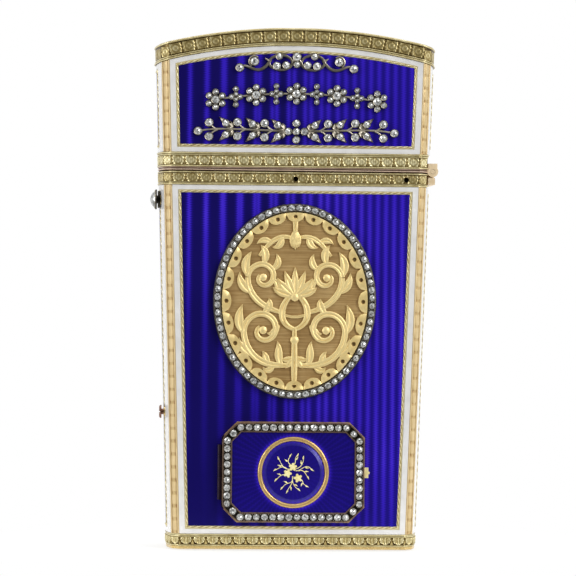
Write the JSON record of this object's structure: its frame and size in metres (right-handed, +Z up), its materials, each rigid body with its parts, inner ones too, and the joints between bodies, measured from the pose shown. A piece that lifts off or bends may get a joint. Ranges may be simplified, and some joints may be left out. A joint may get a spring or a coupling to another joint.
{
  "type": "aide memoire case",
  "caption": "Flared flat enamelled case with canted corners and an arched hinged lid, holding ivory leaves and a pencil, with a watch under an octagonal hinged cover.",
  "frame": {"origin": "middle of the base plate's lower face", "axes": "+Z up along the case, -Y towards the front with the medallion, +X towards the lid's hinge"},
  "size_m": [0.0501, 0.0158, 0.0902],
  "materials": {
    "gold": "chased and polished yellow gold",
    "pink_gold": "polished pink gold",
    "engraved_gold": "engraved gold ground",
    "silver": "toned silver settings",
    "diamond": "rose-cut stones",
    "blue_enamel": "translucent blue enamel over engine turning",
    "white_enamel": "opaque white enamel",
    "dial_enamel": "white enamel",
    "crystal": "watch glass",
    "blued_steel": "blued steel",
    "spring_steel": "spring steel",
    "ivory": "polished ivory or ivory substitute",
    "graphite": "graphite"
  },
  "bodies": {
    "case": {"base_plate": "gold", "base_border": "gold", "body_carcass": "gold", "partition_plate": "pink_gold", "neck_ring": "pink_gold", "upper_border": "gold", "body_pilasters": "pink_gold", "body_enamel_panels": "blue_enamel", "body_white_borders": "white_enamel", "body_fillets": "gold", "oval_ground": "engraved_gold", "oval_openwork": "gold", "oval_frame": "silver", "oval_diamonds": "diamond", "body_hinge_leaf": "pink_gold", "lid_hinge_pin": "gold", "catch_spring": "spring_steel", "push_tubes": "gold", "watch_bezel": "pink_gold", "watch_mat": "gold", "watch_glass": "crystal", "watch_dial": "dial_enamel", "watch_movement": "gold", "cover_hinge_pin": "gold"},
    "lid": {"lid_carcass": "gold", "lid_rim": "pink_gold", "lid_lower_border": "gold", "lid_cornice": "gold", "lid_crown_plate": "gold", "lid_pilasters": "pink_gold", "lid_enamel_panels": "blue_enamel", "lid_white_borders": "white_enamel", "lid_fillets": "gold", "lid_hinge_leaf": "pink_gold", "lid_scroll": "silver", "lid_garland": "silver", "lid_spray": "silver", "catch_tongue": "pink_gold", "scroll_diamonds": "diamond", "garland_diamonds": "diamond", "spray_diamonds": "diamond"},
    "lid_push_piece": {"push_piece": "silver", "push_diamond": "diamond"},
    "side_push_button": {"side_button": "pink_gold"},
    "watch_cover": {"cover_plate": "pink_gold", "cover_frame": "silver", "cover_diamonds": "diamond", "cover_enamel": "blue_enamel", "cover_ring": "gold", "cover_roundel": "blue_enamel", "cover_spray": "gold", "thumb_piece": "gold"},
    "minute_work": {"minute_hand": "blued_steel", "centre_arbor": "gold"},
    "hour_work": {"hour_hand": "blued_steel"},
    "leaf_packet": {"ivory_leaves": "ivory", "leaf_rivet": "gold"},
    "pencil": {"pencil_barrel": "pink_gold", "pencil_lead": "graphite", "pencil_finial": "gold"}
  },
  "joints": [
    {"name": "lid_hinge", "type": "hinge", "parent": "case", "child": "lid", "pos_m": [0.024, 0, 0.0657], "axis": [0, 1, 0], "range_deg": [0, 105], "deforming": ["catch_spring"]},
    {"name": "watch_cover_hinge", "type": "hinge", "parent": "case", "child": "watch_cover", "pos_m": [-0.01275, -0.00758, 0.01335], "axis": [0, 0, -1], "range_deg": [0, 110]},
    {"name": "lid_push", "type": "slide", "parent": "case", "child": "lid_push_piece", "axis": [1, 0, 0], "range_m": [0, 0.0003], "stiffness_N_per_m": 800, "deforming": ["catch_spring"]},
    {"name": "side_button_push", "type": "slide", "parent": "case", "child": "side_push_button", "axis": [1, 0, 0], "range_m": [0, 0.00035], "stiffness_N_per_m": 600},
    {"name": "minute_turn", "type": "hinge", "parent": "case", "child": "minute_work", "pos_m": [0, -0.006, 0.01335], "axis": [0, 1, 0], "continuous": true},
    {"name": "hour_turn", "type": "hinge", "parent": "case", "child": "hour_work", "pos_m": [0, -0.006, 0.01335], "axis": [0, 1, 0], "continuous": true},
    {"name": "leaves_draw", "type": "slide", "parent": "case", "child": "leaf_packet", "axis": [0, 0, 1], "range_m": [0, 0.045]},
    {"name": "pencil_draw", "type": "slide", "parent": "case", "child": "pencil", "axis": [0, 0, 1], "range_m": [0, 0.03]}
  ],
  "couplings": [
    {"joint": "hour_turn", "follows": "minute_turn", "ratio": 0.083333},
    {"joint": "leaves_draw", "follows": "lid_hinge", "m_per_rad": 0.02455},
    {"joint": "pencil_draw", "follows": "lid_hinge", "m_per_rad": 0.01637}
  ]
}
